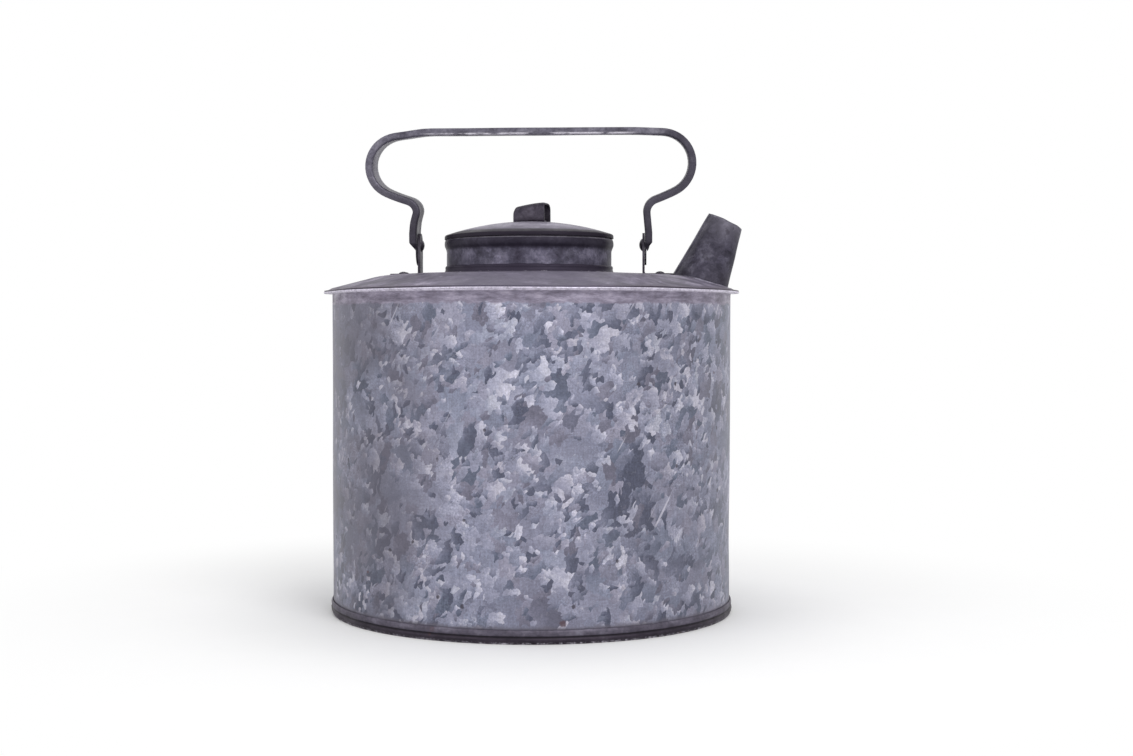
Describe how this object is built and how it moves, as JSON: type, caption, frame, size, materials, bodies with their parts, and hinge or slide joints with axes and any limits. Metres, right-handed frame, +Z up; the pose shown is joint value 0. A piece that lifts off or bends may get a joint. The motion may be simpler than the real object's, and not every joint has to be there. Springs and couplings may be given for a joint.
{
  "type": "galvanised watering can with a lid",
  "caption": "Old galvanised steel can with a lidded neck, a short pouring spout and a swinging bail handle, for carrying and pouring water.",
  "frame": {"origin": "centre of the base ring, on the ground", "axes": "+Z up along the can's axis, +X towards the spout, the bail's pivot line along X"},
  "size_m": [0.264, 0.2612, 0.3035],
  "materials": {
    "spangled_zinc": "weathered hot-dip zinc with large dull crystals",
    "dull_zinc": "dull oxidised zinc with brown stains",
    "dark_zinc": "dark oxidised zinc, stained near its solder",
    "dark_iron": "dark, half-bare steel with worn zinc and rust specks"
  },
  "bodies": {
    "can": {"body_wall": "spangled_zinc", "base_pan": "dark_zinc", "breast": "dull_zinc", "neck_collar": "dark_zinc", "spout": "dark_zinc", "ear_left": "dark_iron", "ear_right": "dark_iron", "pivot_rivet_left": "dark_iron", "pivot_rivet_right": "dark_iron", "foot_rivet_left_front": "dark_iron", "foot_rivet_left_back": "dark_iron", "foot_rivet_right_front": "dark_iron", "foot_rivet_right_back": "dark_iron"},
    "bail": {"bail_handle": "dark_iron"},
    "lid": {"lid_dome": "dull_zinc", "lid_sleeve": "dark_zinc", "lid_loop": "dark_iron"}
  },
  "joints": [
    {"name": "bail_swing", "type": "hinge", "parent": "can", "child": "bail", "pos_m": [0, 0, 0.22884], "axis": [1, 0, 0], "range_deg": [-98.5, 87.5]},
    {"name": "lid_lift", "type": "slide", "parent": "can", "child": "lid", "axis": [0, 0, 1], "range_m": [0, 0.03]}
  ]
}
